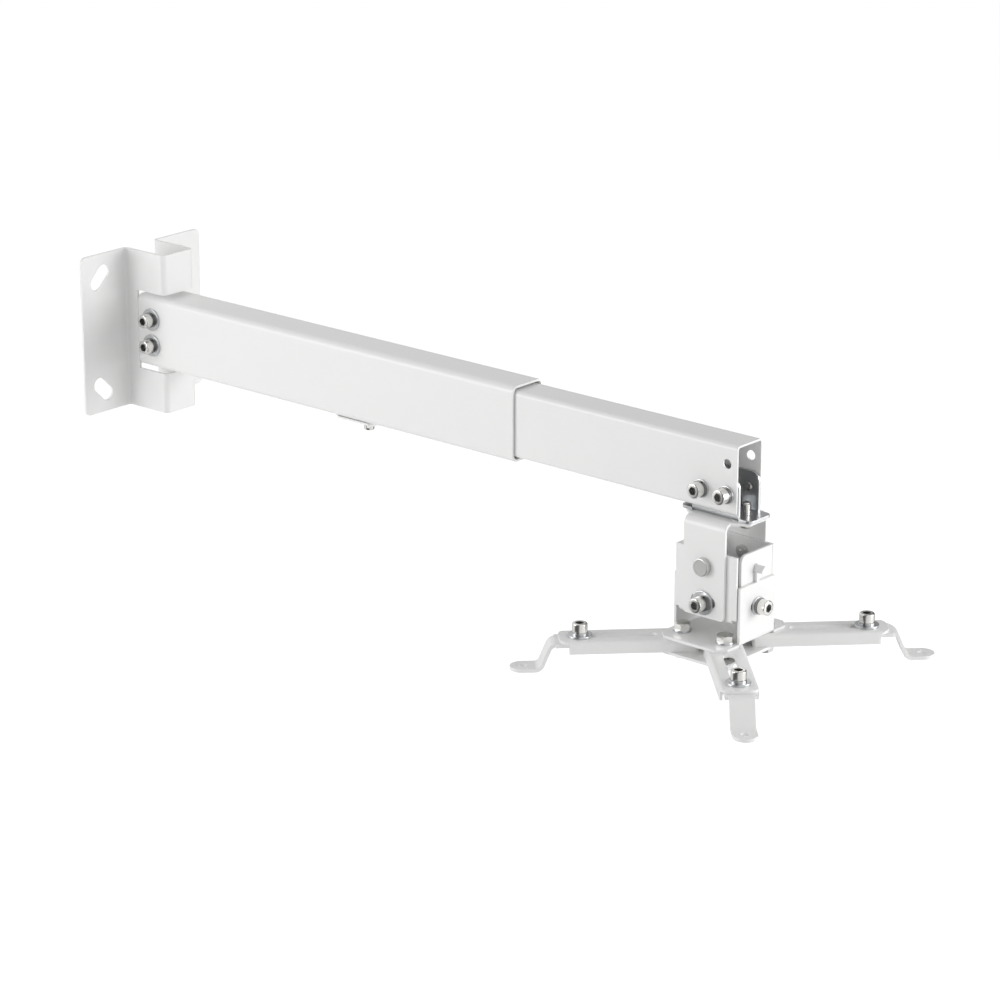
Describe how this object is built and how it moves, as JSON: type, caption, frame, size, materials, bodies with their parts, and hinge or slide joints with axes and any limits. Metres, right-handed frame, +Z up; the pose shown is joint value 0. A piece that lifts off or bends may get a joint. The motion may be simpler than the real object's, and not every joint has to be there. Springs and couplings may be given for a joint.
{
  "type": "projector mount",
  "caption": "Telescopic wall or ceiling arm for a projector: folded wall plate, rectangular tubes, tilting head and swinging slotted legs with sliding feet.",
  "frame": {"origin": "centre of the wall plate's back face, in the middle of its four slots", "axes": "+X out from the wall along the arm, +Z up, +Y across to the left when looking at the wall"},
  "size_m": [0.6275, 0.2026, 0.1865],
  "materials": {
    "white_coat": "glossy white powder coat on steel sheet",
    "plated_steel": "bright nickel or zinc plate on steel"
  },
  "bodies": {
    "wall_side": {"wall_bracket": "white_coat", "outer_tube": "white_coat", "wall_screws": "plated_steel", "wall_washers": "plated_steel", "wall_spring_washers": "plated_steel", "wall_nuts": "plated_steel", "extension_lock_plate": "white_coat", "extension_lock_rivet": "plated_steel", "extension_lock_screw": "plated_steel"},
    "arm": {"inner_tube": "white_coat", "tube_yoke": "plated_steel", "yoke_screws": "plated_steel", "yoke_washers": "plated_steel", "yoke_spring_washers": "plated_steel", "swivel_bolt": "plated_steel", "swivel_nut": "plated_steel", "swivel_lock_screw": "plated_steel", "swivel_lock_washer": "plated_steel"},
    "pan": {"pan_bracket": "white_coat"},
    "tilt": {"tilt_box": "white_coat", "pitch_pivots": "plated_steel", "pitch_lock_screws": "plated_steel", "pitch_lock_washers": "plated_steel", "pitch_lock_spring_washers": "plated_steel", "pitch_lock_nuts": "plated_steel", "roll_lock_screws": "plated_steel", "roll_lock_washers": "plated_steel", "roll_lock_spring_washers": "plated_steel", "roll_lock_nuts": "plated_steel"},
    "base": {"base_bracket": "white_coat", "clamp_plate": "white_coat", "leg_bolts": "plated_steel", "leg_bolt_washers": "plated_steel", "leg_bolt_nuts": "plated_steel"},
    "leg_1": {"leg_1": "white_coat"},
    "foot_1": {"foot_1": "white_coat", "foot_screw_1": "plated_steel", "foot_washers_1": "plated_steel", "foot_nut_1": "plated_steel"},
    "leg_2": {"leg_2": "white_coat"},
    "foot_2": {"foot_2": "white_coat", "foot_screw_2": "plated_steel", "foot_washers_2": "plated_steel", "foot_nut_2": "plated_steel"},
    "leg_3": {"leg_3": "white_coat"},
    "foot_3": {"foot_3": "white_coat", "foot_screw_3": "plated_steel", "foot_washers_3": "plated_steel", "foot_nut_3": "plated_steel"},
    "leg_4": {"leg_4": "white_coat"},
    "foot_4": {"foot_4": "white_coat", "foot_screw_4": "plated_steel", "foot_washers_4": "plated_steel", "foot_nut_4": "plated_steel"}
  },
  "joints": [
    {"name": "arm_extend", "type": "slide", "parent": "wall_side", "child": "arm", "axis": [1, 0, 0], "range_m": [-0.118, 0.048]},
    {"name": "head_swivel", "type": "hinge", "parent": "arm", "child": "pan", "pos_m": [0.53, 0, -0.0269], "axis": [0, 0, 1], "range_deg": [-30, 30]},
    {"name": "head_pitch", "type": "hinge", "parent": "pan", "child": "tilt", "pos_m": [0.53, 0, -0.0575], "axis": [0, 1, 0], "range_deg": [-15, 15]},
    {"name": "head_roll", "type": "hinge", "parent": "tilt", "child": "base", "pos_m": [0.53, 0, -0.059], "axis": [1, 0, 0], "range_deg": [-8, 8]},
    {"name": "leg_1_swing", "type": "hinge", "parent": "base", "child": "leg_1", "pos_m": [0.5128, -0.021, -0.107], "axis": [0, 0, 1], "range_deg": [-35, 35]},
    {"name": "foot_1_slide", "type": "slide", "parent": "leg_1", "child": "foot_1", "axis": [-0.7071, -0.7071, 0], "range_m": [-0.039, 0.0025]},
    {"name": "leg_2_swing", "type": "hinge", "parent": "base", "child": "leg_2", "pos_m": [0.5472, -0.021, -0.107], "axis": [0, 0, 1], "range_deg": [-35, 35]},
    {"name": "foot_2_slide", "type": "slide", "parent": "leg_2", "child": "foot_2", "axis": [0.7071, -0.7071, 0], "range_m": [-0.039, 0.0025]},
    {"name": "leg_3_swing", "type": "hinge", "parent": "base", "child": "leg_3", "pos_m": [0.5472, 0.021, -0.107], "axis": [0, 0, 1], "range_deg": [-35, 35]},
    {"name": "foot_3_slide", "type": "slide", "parent": "leg_3", "child": "foot_3", "axis": [0.7071, 0.7071, 0], "range_m": [-0.039, 0.0025]},
    {"name": "leg_4_swing", "type": "hinge", "parent": "base", "child": "leg_4", "pos_m": [0.5128, 0.021, -0.107], "axis": [0, 0, 1], "range_deg": [-35, 35]},
    {"name": "foot_4_slide", "type": "slide", "parent": "leg_4", "child": "foot_4", "axis": [-0.7071, 0.7071, 0], "range_m": [-0.039, 0.0025]}
  ]
}
